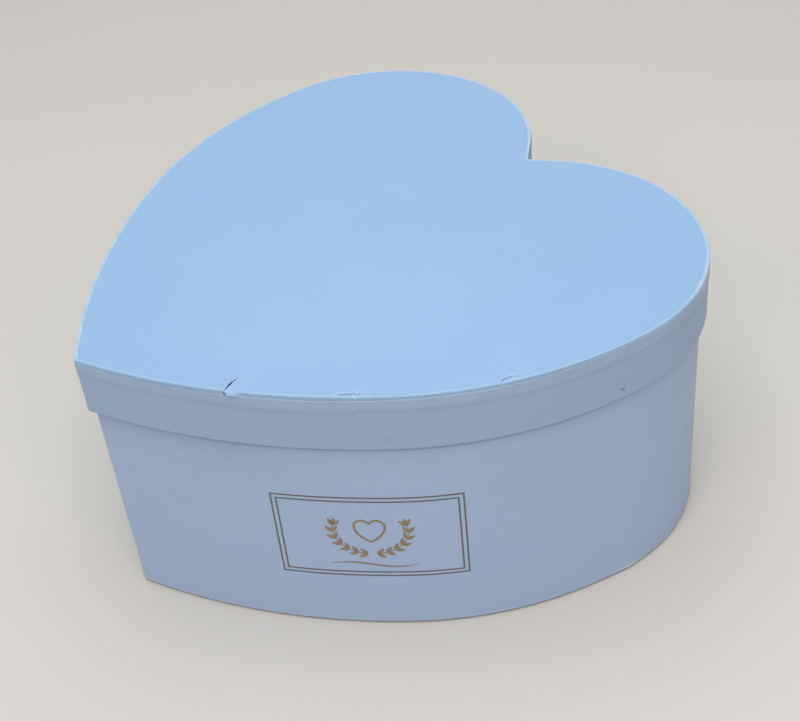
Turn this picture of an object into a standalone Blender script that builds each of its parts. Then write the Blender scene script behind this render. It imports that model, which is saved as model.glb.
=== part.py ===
"""Heart-shaped gift box of paper-covered board, with a lid that lifts off.

Metres, +Z up. The origin is under the middle of the lid's outline, on the surface that the box
stands on. The heart's tip points along -Y, its cleft along +Y, and the printed wall faces +X.

The box is laid up as a box maker does it: greyboard strips bent round a heart-shaped base and
butted at tip and cleft, corner stays over the butts, a wrap of coloured paper turned in at both
edges, and linings that cover the turned-in paper. The lid is made the same way, a little wider.
An inset is a distance inwards from the lid's outer face, so every layer is a heart of its own.
"""

import math

import bpy
from mathutils import Matrix, Vector

# The heart, as the lid's outer face shows it
LID_WIDTH = 0.250
SHOULDER_RADIUS = 0.158
SHOULDER_TURN = math.radians(36.9)
SIDE_RADIUS = 0.2745
CLEFT_SLOPE = math.radians(47)
CLEFT_RUN = 0.0124
TIP_RADIUS = 0.0012
TIGHTEST_FOLD = 0.0006

# Heights
BOX_HEIGHT = 0.1234
RIM_HEIGHT = 0.0255

# Stock that the box is cut from
PAPER = 0.00015
WALL_BOARD = 0.0018
BASE_BOARD = 0.0020
RIM_BOARD = 0.0010
TOP_BOARD = 0.0018
FOIL = 0.0001

# Fits
GLUE = 0.00025
LID_CLEARANCE = 0.0004
BOARD_BUTT = 0.0003

# Turned-in edges, stays and linings
FOLD_RADIUS = 0.0006
TOP_FLANGE = 0.0060
RIM_WRAP_SETBACK = 0.0013
FLANGE_STEP = 0.0010
RIM_HEM = 0.0080
WALL_HEM = 0.0140
BASE_HEM = 0.0180
LINING_SETBACK = 0.0040
BOTTOM_SHEET_MARGIN = 0.0030
TOP_SHEET_MARGIN = 0.0030
STAY_REACH = 0.0120

# Foil print on the wall that faces +X, measured along the wall from the tip
PRINT_CENTRE = 0.1080
PRINT_MIDDLE = 0.0497
BORDER_WIDTH = 0.0747
BORDER_HEIGHT = 0.0426
BORDER_GAP = 0.0020
BORDER_LINE = 0.0007
MOTIF_HEART_WIDTH = 0.0130
MOTIF_HEART_LINE = 0.0010
MOTIF_HEART_RISE = 0.0035
WREATH_REACH = 0.0150
WREATH_DROP = 0.0125
WREATH_START = math.radians(-83)
WREATH_END = math.radians(14)
STEM_LINE = 0.0006
LEAF_LENGTH = 0.0044
LEAF_WIDTH = 0.0018
LEAF_LEAN = math.radians(38)
LEAF_PAIRS = 6
STEPS_BETWEEN_PAIRS = 3
FLOURISH_REACH = 0.0175
FLOURISH_DROP = 0.0150
FLOURISH_SWING = 0.0011
FLOURISH_LINE = 0.0009

# How finely the round stretches are cut
TIP_STEPS = 2
SIDE_STEPS = 8
SHOULDER_STEPS = 6
LOBE_STEPS = 13
CLEFT_STEPS = 7
FOLD_STEPS = 2
BORDER_STEPS = 16
FLOURISH_STEPS = 20
CREASE_ANGLE = math.radians(40)

# Insets of the layers, from the lid's outer face inwards
BAND_FACE = 0.0
FLANGE_FACE = BAND_FACE + PAPER + GLUE
RIM_BOARD_OUT = FLANGE_FACE + PAPER + GLUE
RIM_BOARD_IN = RIM_BOARD_OUT + RIM_BOARD
RIM_HEM_OUT = RIM_BOARD_IN + GLUE
RIM_HEM_FACE = RIM_HEM_OUT + PAPER
RIM_LINING_OUT = RIM_HEM_FACE + GLUE
RIM_LINING_FACE = RIM_LINING_OUT + PAPER
WRAP_FACE = RIM_LINING_FACE + LID_CLEARANCE
WALL_BOARD_OUT = WRAP_FACE + PAPER + GLUE
WALL_BOARD_IN = WALL_BOARD_OUT + WALL_BOARD
WALL_HEM_OUT = WALL_BOARD_IN + GLUE
WALL_HEM_FACE = WALL_HEM_OUT + PAPER
WALL_LINING_OUT = WALL_HEM_FACE + GLUE
WALL_LINING_FACE = WALL_LINING_OUT + PAPER

# Levels of the layers, from the ground up and from the lid's top down
WRAP_UNDERSIDE = PAPER + GLUE
BOARD_FOOT = WRAP_UNDERSIDE + PAPER + GLUE
BASE_BOARD_TOP = BOARD_FOOT + BASE_BOARD
FLOOR_LINING_FOOT = BASE_BOARD_TOP + GLUE
TOP_BOARD_TOP = BOX_HEIGHT - PAPER - GLUE
TOP_BOARD_FOOT = TOP_BOARD_TOP - TOP_BOARD
LID_LINING_TOP = TOP_BOARD_FOOT - GLUE
LID_LINING_FOOT = LID_LINING_TOP - PAPER
BODY_RIM = LID_LINING_FOOT - GLUE
WALL_BOARD_TOP = BODY_RIM - PAPER - GLUE
RIM_FOOT = BOX_HEIGHT - RIM_HEIGHT
RIM_BOARD_FOOT = RIM_FOOT + PAPER + GLUE

# Colours, as red, green and blue in linear light
PALE_BLUE = (0.39, 0.57, 0.83)
WHITE = (0.80, 0.80, 0.78)
GREY = (0.33, 0.31, 0.28)
TAPE = (0.58, 0.47, 0.33)
GOLD = (0.46, 0.30, 0.13)

# A leaf's outline past its root, as shares of its length and of its width
LEAF_SHAPE = [(0.35, 0.42), (0.62, 0.36), (1.0, 0.0), (0.70, -0.34), (0.42, -0.46)]


def arc(centre, radius, start, end, steps):
    """Points along an arc, both ends included."""
    points = []
    for step in range(steps + 1):
        angle = start + (end - start) * step / steps
        points.append(centre + radius * Vector((math.cos(angle), math.sin(angle))))
    return points


LOBE_RADIUS = (LID_WIDTH / 2 - CLEFT_RUN * math.sin(CLEFT_SLOPE)) / (1 + math.cos(CLEFT_SLOPE))
LOBE_CENTRE = Vector((LID_WIDTH / 2 - LOBE_RADIUS, 0))
SHOULDER_CENTRE = Vector((LID_WIDTH / 2 - SHOULDER_RADIUS, 0))
SIDE_CENTRE = SHOULDER_CENTRE + (SHOULDER_RADIUS - SIDE_RADIUS) * Vector(
    (math.cos(SHOULDER_TURN), -math.sin(SHOULDER_TURN)))


def heart_half(inset, edge=0.0):
    """Right half of the heart from tip to cleft, cut off at x = edge beside the middle line."""
    tip_radius = max(TIP_RADIUS - inset, TIGHTEST_FOLD)
    side_radius = SIDE_RADIUS - inset
    reach = side_radius - tip_radius
    tip_angle = -math.acos(-SIDE_CENTRE.x / reach)
    tip_centre = Vector((0, SIDE_CENTRE.y - math.sqrt(reach ** 2 - SIDE_CENTRE.x ** 2)))
    lobe_radius = LOBE_RADIUS - inset
    lobe_end = math.pi - CLEFT_SLOPE

    points = arc(tip_centre, tip_radius, -math.acos(edge / tip_radius), tip_angle, TIP_STEPS)
    points += arc(SIDE_CENTRE, side_radius, tip_angle, -SHOULDER_TURN, SIDE_STEPS)[1:]
    points += arc(SHOULDER_CENTRE, SHOULDER_RADIUS - inset, -SHOULDER_TURN, 0, SHOULDER_STEPS)[1:]
    points += arc(LOBE_CENTRE, lobe_radius, 0, math.pi / 2, LOBE_STEPS)[1:]
    points += arc(LOBE_CENTRE, lobe_radius, math.pi / 2, lobe_end, CLEFT_STEPS)[1:]
    run = (points[-1].x - edge) / math.sin(CLEFT_SLOPE)
    points.append(points[-1] - run * Vector((math.sin(CLEFT_SLOPE), math.cos(CLEFT_SLOPE))))
    return points


MIDDLE = Vector((0, (LOBE_RADIUS + heart_half(BAND_FACE)[0].y) / 2))


def placed_half(inset, edge=0.0):
    """The right half of the heart, with the middle of the lid's outline at the origin."""
    return [point - MIDDLE for point in heart_half(inset, edge)]


def mirrored(points):
    """The same points on the other side of the middle line, in the opposite order."""
    return [Vector((-point.x, point.y)) for point in reversed(points)]


def heart(inset):
    """The whole heart, counterclockwise from the tip."""
    right = placed_half(inset)
    return right + mirrored(right)[1:-1]


def remove_everything():
    for thing in list(bpy.data.objects):
        bpy.data.objects.remove(thing)


def make_finish(name, colour, roughness, metallic=0.0):
    finish = bpy.data.materials.new(name)
    finish.use_nodes = True
    shader = finish.node_tree.nodes["Principled BSDF"]
    shader.inputs["Base Color"].default_value = (*colour, 1)
    shader.inputs["Roughness"].default_value = roughness
    shader.inputs["Metallic"].default_value = metallic
    finish.diffuse_color = (*colour, 1)
    return finish


def add_piece(name, data, colour, roughness, carrier, metallic=0.0, height=0.0):
    """Puts mesh or curve data into the box as one named piece, carried by an empty if given."""
    piece = bpy.data.objects.new(name, data)
    data.materials.append(make_finish(name, colour, roughness, metallic))
    piece.location.z = height
    if carrier:
        piece.parent = carrier
        piece.location.z -= carrier.location.z
    box.objects.link(piece)
    return piece


def plate(name, outline, foot, top, colour, carrier=None):
    """A flat board or sheet cut to an outline."""
    curve = bpy.data.curves.new(name, "CURVE")
    curve.dimensions = "2D"
    curve.fill_mode = "BOTH"
    curve.extrude = (top - foot) / 2
    spline = curve.splines.new("POLY")
    spline.points.add(len(outline) - 1)
    for point, place in zip(spline.points, outline):
        point.co = (place.x, place.y, 0, 1)
    spline.use_cyclic_u = True
    return add_piece(name, curve, colour, 0.85, carrier, height=(foot + top) / 2)


def skin(name, rows, colour, carrier=None, thickness=PAPER, closed=True, capped=False,
         roughness=0.6, metallic=0.0):
    """A sheet that passes through rows of points, thickened inwards from its outer face."""
    columns = len(rows[0])
    corners = [point for row in rows for point in row]
    faces = []
    for row in range(len(rows) - 1):
        for column in range(columns if closed else columns - 1):
            after = (column + 1) % columns
            low = row * columns
            high = low + columns
            faces.append((low + column, low + after, high + after, high + column))
    if capped:
        faces.append(tuple(range((len(rows) - 1) * columns, len(rows) * columns)))
    mesh = bpy.data.meshes.new(name)
    mesh.from_pydata(corners, [], faces)
    mesh.shade_smooth()
    mesh.set_sharp_from_angle(angle=CREASE_ANGLE)
    return thicken(add_piece(name, mesh, colour, roughness, carrier, metallic), thickness)


def thicken(piece, thickness):
    solid = piece.modifiers.new("thickness", "SOLIDIFY")
    solid.thickness = thickness
    solid.offset = -1
    solid.use_even_offset = True
    solid.use_quality_normals = True
    return piece


def at_height(points, height):
    return [(point.x, point.y, height) for point in points]


def folded(profile):
    """The profile of a sheet's outer face, as (inset, height), with its square corners rounded.

    A bend that isn't square, such as the step over the turned-down flange, stays as it is.
    """
    points = [Vector(corner) for corner in profile]
    result = [points[0]]
    for before, corner, after in zip(points, points[1:], points[2:]):
        arriving = (corner - before).normalized()
        leaving = (after - corner).normalized()
        if abs(arriving.dot(leaving)) > 0.1:
            result.append(corner)
            continue
        centre = corner + FOLD_RADIUS * (leaving - arriving)
        for step in range(FOLD_STEPS + 1):
            angle = math.pi / 2 * step / FOLD_STEPS
            spoke = arriving * math.sin(angle) - leaving * math.cos(angle)
            result.append(centre + FOLD_RADIUS * spoke)
    return result + [points[-1]]


def wrapped(profile):
    """Rows of points round the heart, one row for each point of a folded profile."""
    return [at_height(heart(inset), height) for inset, height in folded(profile)]


def wall_boards(name, outer, inner, foot, top, carrier=None):
    """Two board strips bent to the heart's halves, which butt at tip and cleft."""
    face = placed_half(outer, BOARD_BUTT / 2)
    back = placed_half(inner, BOARD_BUTT / 2)
    right = face + back[::-1]
    plate(name + "_right", right, foot, top, GREY, carrier)
    plate(name + "_left", mirrored(right), foot, top, GREY, carrier)


def first_stretch(path, length):
    """The first length of a path, cut between its points if need be."""
    kept = [path[0]]
    for point in path[1:]:
        step = (point - kept[-1]).length
        if step >= length:
            kept.append(kept[-1].lerp(point, length / step))
            break
        kept.append(point)
        length -= step
    return kept


def corner_stays(tip_name, cleft_name, inset, foot, top, carrier=None):
    """Paper tapes folded into the tip and the cleft, over the boards' butts."""
    half = placed_half(inset)
    from_tip = first_stretch(half, STAY_REACH)
    tip_path = mirrored(from_tip)[:-1] + from_tip
    into_cleft = first_stretch(half[::-1], STAY_REACH)[::-1]
    cleft_path = into_cleft + mirrored(into_cleft)[1:]
    for name, path in ((tip_name, tip_path), (cleft_name, cleft_path)):
        rows = [at_height(path, foot), at_height(path, top)]
        skin(name, rows, TAPE, carrier, closed=False, roughness=0.8)


def wall_place(along, height):
    """A point of the foil's outer face, by its distance along the wall from the tip."""
    path = placed_half(WRAP_FACE - GLUE - FOIL)
    for start, end in zip(path, path[1:]):
        step = (end - start).length
        if along <= step:
            break
        along -= step
    place = start.lerp(end, along / step)
    return (place.x, place.y, height)


def on_print(across, up):
    """A point of the print, by its distance from the print's centre."""
    return wall_place(PRINT_CENTRE + across, PRINT_MIDDLE + up)


def foil(name, rows, closed=False):
    return skin(name, rows, GOLD, None, FOIL, closed, roughness=0.35, metallic=0.8)


def border(name, width, height):
    """A rectangular line, its long sides cut so that it bends with the wall."""
    corners = [(-width / 2, -height / 2), (width / 2, -height / 2),
               (width / 2, height / 2), (-width / 2, height / 2)]
    outward = [(-1, -1), (1, -1), (1, 1), (-1, 1)]
    rows = []
    for edge in (-BORDER_LINE / 2, BORDER_LINE / 2):
        row = []
        for side in range(4):
            start = Vector(corners[side]) + edge * Vector(outward[side])
            end = Vector(corners[(side + 1) % 4]) + edge * Vector(outward[(side + 1) % 4])
            breaks = BORDER_STEPS if side % 2 == 0 else 1
            row += [on_print(*start.lerp(end, step / breaks)) for step in range(breaks)]
        rows.append(row)
    foil(name, rows[::-1], closed=True)


def motif_heart():
    """A small open heart of the box's own outline."""
    scale = MOTIF_HEART_WIDTH / LID_WIDTH
    rows = []
    for inset in (BAND_FACE, MOTIF_HEART_LINE / scale):
        outline = [scale * point for point in heart(inset)]
        rows.append([on_print(point.x, point.y + MOTIF_HEART_RISE) for point in outline])
    foil("foil_heart", rows, closed=True)


def leaf_outline(root, other_root, direction):
    """Points of a leaf that grows from the stem's edge between two roots, back to the first."""
    side = Vector((-direction.y, direction.x))
    base = (root + other_root) / 2
    if side.dot(other_root - root) < 0:
        side = -side
    along = LEAF_LENGTH * direction
    across = LEAF_WIDTH * side
    return [base + share * along + spread * across for share, spread in LEAF_SHAPE]


def sprig(name, hand):
    """A stem on an ellipse round the heart, with pairs of leaves, as one sheet of foil.

    hand is 1 for the sprig on the right and -1 for its mirror image.
    """
    segments = STEPS_BETWEEN_PAIRS * LEAF_PAIRS + 2
    middles = []
    for step in range(segments + 1):
        angle = WREATH_START + (WREATH_END - WREATH_START) * step / segments
        middles.append(Vector((WREATH_REACH * math.cos(angle), WREATH_DROP * math.sin(angle))))
    inner, outer = [], []
    for step, middle in enumerate(middles):
        ahead = (middles[min(step + 1, segments)] - middles[max(step - 1, 0)]).normalized()
        taper = 1 - 0.5 * step / segments
        across = STEM_LINE / 2 * taper * Vector((ahead.y, -ahead.x))
        outer.append(middle + across)
        inner.append(middle - across)

    points, faces = [], []

    def number(point):
        points.append(point)
        return len(points) - 1

    outer_numbers = [number(point) for point in outer]
    inner_numbers = [number(point) for point in inner]
    for step in range(segments):
        faces.append([outer_numbers[step], outer_numbers[step + 1],
                      inner_numbers[step + 1], inner_numbers[step]])
    for joint in range(LEAF_PAIRS):
        first = STEPS_BETWEEN_PAIRS * joint + 1
        sides = ((outer, outer_numbers, -1, first), (inner, inner_numbers, 1, first + 1))
        for edge, numbers, turn, step in sides:
            direction = (edge[step + 1] - edge[step]).normalized()
            direction.rotate(Matrix.Rotation(turn * LEAF_LEAN, 2))
            blade = [number(point) for point in leaf_outline(edge[step], edge[step + 1], direction)]
            root = [numbers[step], numbers[step + 1]]
            faces.append(root + blade if turn > 0 else root[::-1] + blade[::-1])
    if hand < 0:
        faces = [face[::-1] for face in faces]
    mesh = bpy.data.meshes.new(name)
    mesh.from_pydata([on_print(hand * point.x, point.y + MOTIF_HEART_RISE) for point in points], [], faces)
    thicken(add_piece(name, mesh, GOLD, 0.35, None, 0.8), FOIL)


def flourish():
    """A long wave under the motif, drawn out to a point at both ends."""
    rows = []
    for edge in (-1, 1):
        row = []
        for step in range(FLOURISH_STEPS + 1):
            share = step / FLOURISH_STEPS
            rise = FLOURISH_SWING * math.sin(2 * math.pi * share)
            line = FLOURISH_LINE * (0.25 + 0.75 * math.sin(math.pi * share)) / 2
            row.append(on_print(FLOURISH_REACH * (2 * share - 1), rise - FLOURISH_DROP + edge * line))
        rows.append(row)
    foil("foil_flourish", rows)


remove_everything()
box = bpy.data.collections.new("heart_gift_box")
bpy.context.scene.collection.children.link(box)

# The lid rises along the empty's own Z axis
lid = bpy.data.objects.new("lid_lift", None)
lid.location.z = BODY_RIM
lid.empty_display_size = RIM_HEIGHT
lid.empty_display_type = "SINGLE_ARROW"
box.objects.link(lid)

# Body, from the ground up and from the outside in
bottom_outline = heart(WRAP_FACE + BOTTOM_SHEET_MARGIN)
plate("bottom_sheet", bottom_outline, 0, PAPER, WHITE)
skin("body_wrap", wrapped([
    (WRAP_FACE + BASE_HEM, WRAP_UNDERSIDE),
    (WRAP_FACE, WRAP_UNDERSIDE),
    (WRAP_FACE, BODY_RIM),
    (WALL_HEM_FACE, BODY_RIM),
    (WALL_HEM_FACE, BODY_RIM - WALL_HEM)]), PALE_BLUE)
wall_boards("wall_board", WALL_BOARD_OUT, WALL_BOARD_IN, BOARD_FOOT, WALL_BOARD_TOP)
plate("base_board", heart(WALL_BOARD_IN + GLUE), BOARD_FOOT, BASE_BOARD_TOP, GREY)
corner_stays("tip_stay", "cleft_stay", WALL_HEM_OUT, FLOOR_LINING_FOOT, BODY_RIM - WALL_HEM - GLUE)
skin("wall_lining", wrapped([
    (WALL_LINING_OUT, FLOOR_LINING_FOOT),
    (WALL_LINING_OUT, BODY_RIM - LINING_SETBACK)]), WHITE, roughness=0.8)
plate("floor_lining", heart(WALL_LINING_FACE + GLUE), FLOOR_LINING_FOOT, FLOOR_LINING_FOOT + PAPER, WHITE)

# Foil print on the body
border("foil_border_outer", BORDER_WIDTH, BORDER_HEIGHT)
border("foil_border_inner", BORDER_WIDTH - 2 * BORDER_GAP, BORDER_HEIGHT - 2 * BORDER_GAP)
motif_heart()
sprig("foil_sprig_right", 1)
sprig("foil_sprig_left", -1)
flourish()

# Lid, from the top down and from the outside in
skin("lid_top_sheet", wrapped([
    (FLANGE_FACE, BOX_HEIGHT - TOP_FLANGE),
    (FLANGE_FACE, BOX_HEIGHT),
    (FLANGE_FACE + TOP_SHEET_MARGIN, BOX_HEIGHT)]), PALE_BLUE, lid, capped=True)
skin("lid_rim_wrap", wrapped([
    (RIM_HEM_FACE, RIM_FOOT + RIM_HEM),
    (RIM_HEM_FACE, RIM_FOOT),
    (FLANGE_FACE, RIM_FOOT),
    (FLANGE_FACE, BOX_HEIGHT - TOP_FLANGE - FLANGE_STEP),
    (BAND_FACE, BOX_HEIGHT - TOP_FLANGE),
    (BAND_FACE, BOX_HEIGHT - RIM_WRAP_SETBACK)]), PALE_BLUE, lid)
wall_boards("lid_rim_board", RIM_BOARD_OUT, RIM_BOARD_IN, RIM_BOARD_FOOT, TOP_BOARD_TOP, lid)
plate("lid_top_board", heart(RIM_BOARD_IN + GLUE), TOP_BOARD_FOOT, TOP_BOARD_TOP, GREY, lid)
corner_stays("lid_tip_stay", "lid_cleft_stay", RIM_HEM_OUT, RIM_FOOT + RIM_HEM + GLUE, LID_LINING_TOP, lid)
skin("lid_rim_lining", wrapped([
    (RIM_LINING_OUT, RIM_FOOT + LINING_SETBACK),
    (RIM_LINING_OUT, LID_LINING_TOP)]), WHITE, lid, roughness=0.8)
plate("lid_lining", heart(RIM_LINING_FACE + GLUE), LID_LINING_FOOT, LID_LINING_TOP, WHITE, lid)
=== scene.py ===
# %% [markdown]
# # A heart-shaped gift box
# A rigid gift box is greyboard dressed in paper. Two board strips are bent round a heart-shaped
# base and butted at its tip and cleft, a sheet of pale blue satin paper is glued round them and
# turned in at both edges, and white papers line the inside. The lid is made the same way.
# This lesson dresses the box's fixed solids: each cell says what a piece is on the real object,
# how it could be made and why it is made this way, and then makes it.

import math

import bmesh
import bpy
import numpy as np
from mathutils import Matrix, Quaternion, Vector


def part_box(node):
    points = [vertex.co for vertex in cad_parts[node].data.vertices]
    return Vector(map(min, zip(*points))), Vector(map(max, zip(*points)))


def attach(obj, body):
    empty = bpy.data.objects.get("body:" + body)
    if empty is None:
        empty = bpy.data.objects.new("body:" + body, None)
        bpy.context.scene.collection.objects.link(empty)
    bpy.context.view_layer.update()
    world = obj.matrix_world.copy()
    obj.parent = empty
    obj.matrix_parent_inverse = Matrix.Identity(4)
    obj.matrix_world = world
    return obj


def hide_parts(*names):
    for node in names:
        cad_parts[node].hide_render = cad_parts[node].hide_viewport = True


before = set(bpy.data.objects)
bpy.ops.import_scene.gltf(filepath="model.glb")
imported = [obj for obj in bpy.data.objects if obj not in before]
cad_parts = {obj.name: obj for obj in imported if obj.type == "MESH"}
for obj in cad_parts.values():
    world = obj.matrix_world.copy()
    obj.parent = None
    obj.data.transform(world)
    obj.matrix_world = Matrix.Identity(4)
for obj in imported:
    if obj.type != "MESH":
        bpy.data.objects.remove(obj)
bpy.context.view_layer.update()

# %% [markdown]
# ## Camera
# The camera stands where the photographer stood: above the table, round towards the printed wall,
# with a slight roll. A target, a distance and three angles say that more plainly than a matrix.

# %% Camera
CAMERA_TARGET = Vector((0.01113, 0.01264, 0.060))
CAMERA_DISTANCE = 0.61233
CAMERA_AZIMUTH = math.radians(60.009)
CAMERA_ELEVATION = math.radians(38.744)
CAMERA_ROLL = math.radians(-6.332)
CAMERA_LENS = 63.574


def linked(name, data):
    """A new object that holds the data, linked to the scene."""
    holder = bpy.data.objects.new(name, data)
    bpy.context.scene.collection.objects.link(holder)
    return holder


backward = Vector((math.sin(CAMERA_AZIMUTH) * math.cos(CAMERA_ELEVATION),
                   -math.cos(CAMERA_AZIMUTH) * math.cos(CAMERA_ELEVATION),
                   math.sin(CAMERA_ELEVATION)))
camera_data = bpy.data.cameras.new("camera")
camera_data.lens = CAMERA_LENS
camera_data.sensor_width = 36
camera = linked("camera", camera_data)
camera.location = CAMERA_TARGET + CAMERA_DISTANCE * backward
camera.rotation_mode = "QUATERNION"
camera.rotation_quaternion = backward.to_track_quat("Z", "Y") @ Quaternion((0, 0, 1), CAMERA_ROLL)
bpy.context.scene.camera = camera
bpy.context.scene.view_settings.view_transform = "Standard"
print("camera at", tuple(round(value, 4) for value in camera.location))

# %% [markdown]
# ## Node helpers
# Shaders and geometry trees are both built from nodes. One function adds a node, sets its options
# and fills its inputs, from plain values or from the sockets of earlier nodes. The others add the
# few kinds that come back again and again; a socket knows its own tree, so most need no tree given.


# %% Node helpers
def fill(node, inputs):
    """Fills a node's inputs; a value is plain, an earlier node's socket, or the node itself."""
    for key, value in inputs.items():
        if isinstance(value, bpy.types.Node):
            value = value.outputs[0]
        if isinstance(value, bpy.types.NodeSocket):
            node.id_data.links.new(value, node.inputs[key])
        else:
            node.inputs[key].default_value = value
    return node


def add_node(tree, kind, inputs=None, **options):
    """Adds a node, sets its options and fills its inputs."""
    node = tree.nodes.new(kind)
    for option, value in options.items():
        setattr(node, option, value)
    return fill(node, inputs or {})


def maths(tree, operation, *values):
    """A product, a sine or the like, of numbers and sockets."""
    return add_node(tree, "ShaderNodeMath", dict(enumerate(values)), operation=operation).outputs[0]


def new_material(name):
    """A material with its shader, and a socket of Object coordinates."""
    material = bpy.data.materials.new(name)
    material.use_nodes = True
    place = add_node(material.node_tree, "ShaderNodeTexCoord").outputs["Object"]
    return material, material.node_tree.nodes["Principled BSDF"], place


def noise(place, size, detail=3.0, roughness=0.5):
    """Noise whose blotches are about the given size, in metres."""
    inputs = {"Vector": place, "Scale": 1 / size, "Detail": detail, "Roughness": roughness}
    return add_node(place.id_data, "ShaderNodeTexNoise", inputs).outputs["Fac"]


def remap(value, low, high, to_low=0.0, to_high=1.0):
    """Stretches a value from one range to another and stops at both ends."""
    inputs = {"Value": value, "From Min": low, "From Max": high, "To Min": to_low, "To Max": to_high}
    return add_node(value.id_data, "ShaderNodeMapRange", inputs).outputs["Result"]


def blotches(place, size, detail=3.0, roughness=0.5, low=0.3, high=0.7, to_low=0.0, to_high=1.0):
    """Noise with its middle range stretched, so that it reaches both ends of a new one."""
    return remap(noise(place, size, detail, roughness), low, high, to_low, to_high)


def stretched(place, *scale):
    """Coordinates that draw a pattern out along the axes where the scale is small."""
    return add_node(place.id_data, "ShaderNodeMapping", {"Vector": place, "Scale": scale})


def blend(share, first, second):
    """Mixes two colours, each a tuple or a socket, by a share."""
    first, second = ((*colour, 1) if isinstance(colour, tuple) else colour
                     for colour in (first, second))
    inputs = {0: share, 6: first, 7: second}
    return add_node(share.id_data, "ShaderNodeMix", inputs, data_type="RGBA").outputs[2]


def bump(height, depth, below=None):
    """Bump of a depth in metres, on top of an earlier bump if one is given."""
    inputs = {"Height": height, "Distance": depth, "Strength": 1.0}
    if below:
        inputs["Normal"] = below
    return add_node(height.id_data, "ShaderNodeBump", inputs).outputs["Normal"]


def toned(colour, factor):
    """A colour made lighter or darker."""
    return tuple(factor * value for value in colour)


# %% [markdown]
# ## Floor and light
# The box stands on plain pale paper. A large soft lamp overhead does most of the lighting and is
# slightly cool, as daylight from a window is. A long strip high in front and a low fill behind are
# slightly warm, as light that comes back from a warm room is.

# %% Floor
FLOOR_REACH = 2.5
FLOOR_COLOUR = (0.80, 0.74, 0.68)


def mesh_object(name, points, edges=(), faces=()):
    """A new mesh object in the scene."""
    mesh = bpy.data.meshes.new(name)
    mesh.from_pydata(points, edges, faces)
    return linked(name, mesh)


floor_corners = [(FLOOR_REACH * x, FLOOR_REACH * y, 0) for x, y in ((-1, -1), (1, -1), (1, 1), (-1, 1))]
floor = mesh_object("floor", floor_corners, faces=[(0, 1, 2, 3)])
floor_paper, shader, place = new_material("floor paper")
floor_cloud = blend(blotches(place, 0.4), FLOOR_COLOUR, toned(FLOOR_COLOUR, 0.985))
fill(shader, {"Base Color": floor_cloud, "Roughness": 0.9, "Specular IOR Level": 0.2})
floor.data.materials.append(floor_paper)

# %% Lamps and world
COOL = (0.81, 0.92, 1.0)
WARM = (1.0, 0.94, 0.87)


def softbox(name, place, aim, width, height, power, colour):
    """A rectangular area lamp that faces its aim."""
    lamp = bpy.data.lights.new(name, "AREA")
    lamp.shape = "RECTANGLE"
    lamp.size = width
    lamp.size_y = height
    lamp.energy = power
    lamp.color = colour
    holder = linked(name, lamp)
    holder.location = place
    holder.rotation_euler = (Vector(place) - Vector(aim)).to_track_quat("Z", "Y").to_euler()


softbox("overhead", (-0.05, 0.0, 1.6), (0, 0, 0), 1.7, 1.7, 18.7, COOL)
softbox("front_strip", (1.06, -0.74, 1.39), (0, 0, 0.05), 2.6, 0.7, 16.1, WARM)
softbox("back_fill", (-1.5, 0.9, 0.5), (0, 0, 0.05), 1.2, 1.2, 2.1, WARM)

world = bpy.data.worlds.new("studio")
world.use_nodes = True
fill(world.node_tree.nodes["Background"], {"Color": (1.0, 0.95, 0.90, 1), "Strength": 0.176})
bpy.context.scene.world = world

# %% [markdown]
# ## The heart
# The outline is made of arcs, as a die cutter's rule is bent: a small arc at the tip, a long side,
# a rounder shoulder, the lobe, and a short straight run into the cleft. Every layer of the box
# follows the same heart at its own inset from the lid's outer face. A station is a distance along
# that outer face from the tip, positive on the printed side, so a mark keeps its place on any layer.

# %% Heart outline
HALF_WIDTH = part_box("lid_rim_wrap")[1][0]
SHOULDER_RADIUS = 0.158
SHOULDER_TURN = math.radians(36.9)
SIDE_RADIUS = 0.2745
CLEFT_SLOPE = math.radians(47)
CLEFT_RUN = 0.0124
TIP_RADIUS = 0.0012
TIGHTEST_FOLD = 0.0006

cleft_way = np.array([math.sin(CLEFT_SLOPE), math.cos(CLEFT_SLOPE)])
LOBE_RADIUS = (HALF_WIDTH - CLEFT_RUN * cleft_way[0]) / (1 + cleft_way[1])
LOBE_CENTRE = np.array([HALF_WIDTH - LOBE_RADIUS, 0.0])
SHOULDER_CENTRE = np.array([HALF_WIDTH - SHOULDER_RADIUS, 0.0])
SIDE_CENTRE = SHOULDER_CENTRE + (SHOULDER_RADIUS - SIDE_RADIUS) * np.array(
    [math.cos(SHOULDER_TURN), -math.sin(SHOULDER_TURN)])


def heart_arcs(inset):
    """The four arcs of the right half, each as centre, radius, first angle and last angle."""
    tip_radius = max(TIP_RADIUS - inset, TIGHTEST_FOLD)
    reach = SIDE_RADIUS - inset - tip_radius
    tip_angle = -math.acos(-SIDE_CENTRE[0] / reach)
    tip_centre = np.array([0.0, SIDE_CENTRE[1] - math.sqrt(reach ** 2 - SIDE_CENTRE[0] ** 2)])
    return [(tip_centre, tip_radius, -math.pi / 2, tip_angle),
            (SIDE_CENTRE, SIDE_RADIUS - inset, tip_angle, -SHOULDER_TURN),
            (SHOULDER_CENTRE, SHOULDER_RADIUS - inset, -SHOULDER_TURN, 0.0),
            (LOBE_CENTRE, LOBE_RADIUS - inset, 0.0, math.pi - CLEFT_SLOPE)]


stretches = [radius * (end - start) for centre, radius, start, end in heart_arcs(0)] + [CLEFT_RUN]
stretch_ends = np.cumsum([0.0] + stretches)
HALF_ROUND = stretch_ends[-1]
tip_arc = heart_arcs(0)[0]
MIDDLE_Y = (LOBE_RADIUS + tip_arc[0][1] - tip_arc[1]) / 2


def inset_of(node):
    """How far a solid's outer face lies inside the lid's outer face."""
    return HALF_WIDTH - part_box(node)[1][0]


def levels_of(node):
    """The heights of a solid's foot and top."""
    return tuple(corner[2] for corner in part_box(node))


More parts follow.
